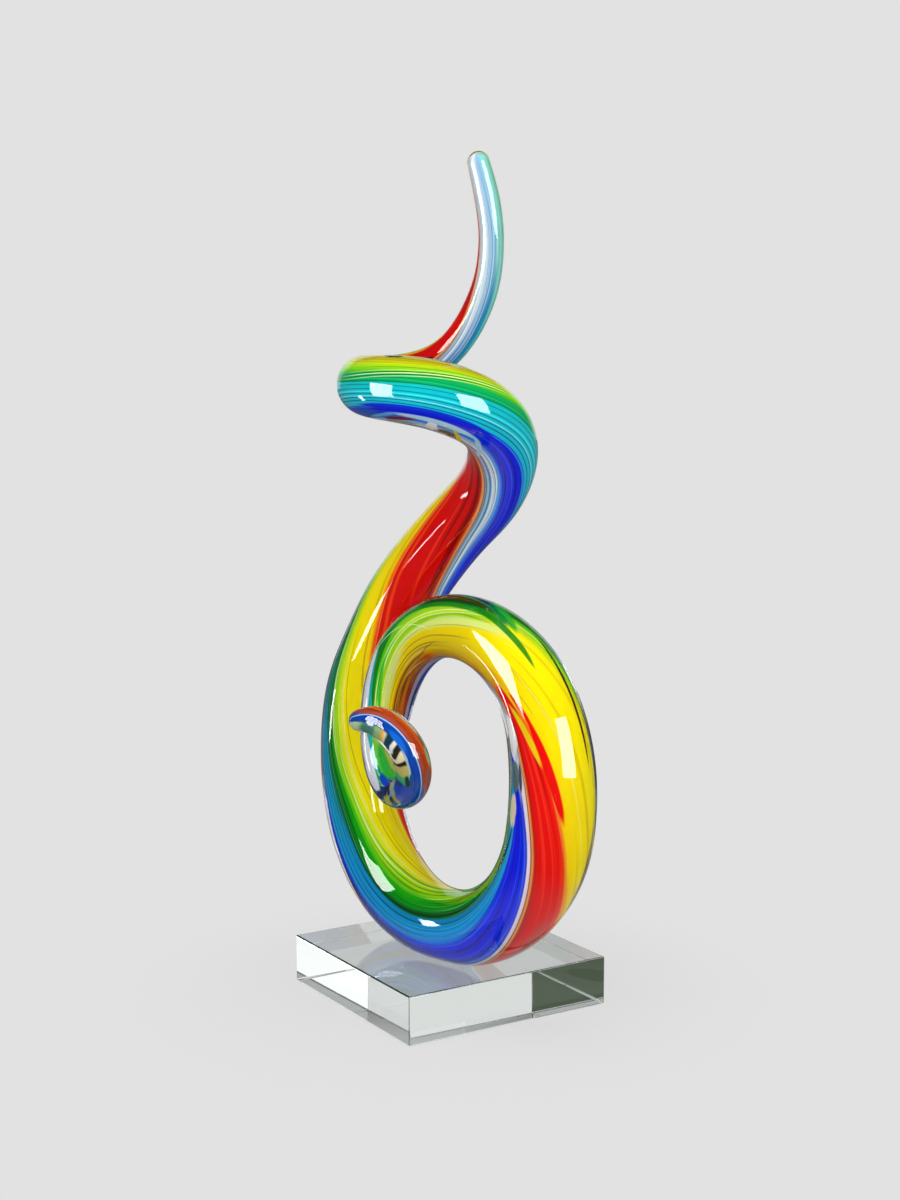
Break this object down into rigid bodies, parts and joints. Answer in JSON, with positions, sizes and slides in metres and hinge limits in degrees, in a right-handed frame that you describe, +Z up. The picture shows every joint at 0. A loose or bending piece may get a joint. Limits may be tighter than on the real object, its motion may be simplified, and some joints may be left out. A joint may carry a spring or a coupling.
{
  "type": "glass sculpture",
  "caption": "Free-standing art glass sculpture: a rod of coloured canes under clear glass, bent into a ring, hook, coil and thin tail, bonded on a clear square block.",
  "frame": {"origin": "centre of the square block's underside", "axes": "+Z up; X and Y run along the block's edges; the ring stands in an upright plane turned 10 degrees from Y, with the hook on its -X side"},
  "size_m": [0.0949, 0.1518, 0.3258],
  "materials": {
    "crystal_base": "polished clear crystal with a faint green cast",
    "bond_layer": "clear cured adhesive",
    "clear_casing": "polished clear glass, thick",
    "cane_blue": "opaque streaky coloured glass",
    "cane_turquoise": "opaque streaky coloured glass",
    "cane_green": "opaque streaky coloured glass",
    "cane_lime": "opaque streaky coloured glass",
    "cane_yellow": "opaque coloured glass",
    "cane_orange": "opaque coloured glass",
    "cane_red": "opaque coloured glass",
    "cane_coral": "opaque coloured glass",
    "cane_pale": "opaque white and pale blue streaked glass"
  },
  "bodies": {
    "root": {"crystal_base": "crystal_base", "bond_layer": "bond_layer", "clear_casing": "clear_casing", "cane_blue": "cane_blue", "cane_turquoise": "cane_turquoise", "cane_green": "cane_green", "cane_lime": "cane_lime", "cane_yellow": "cane_yellow", "cane_orange": "cane_orange", "cane_red": "cane_red", "cane_coral": "cane_coral", "cane_pale": "cane_pale"}
  },
  "joints": []
}
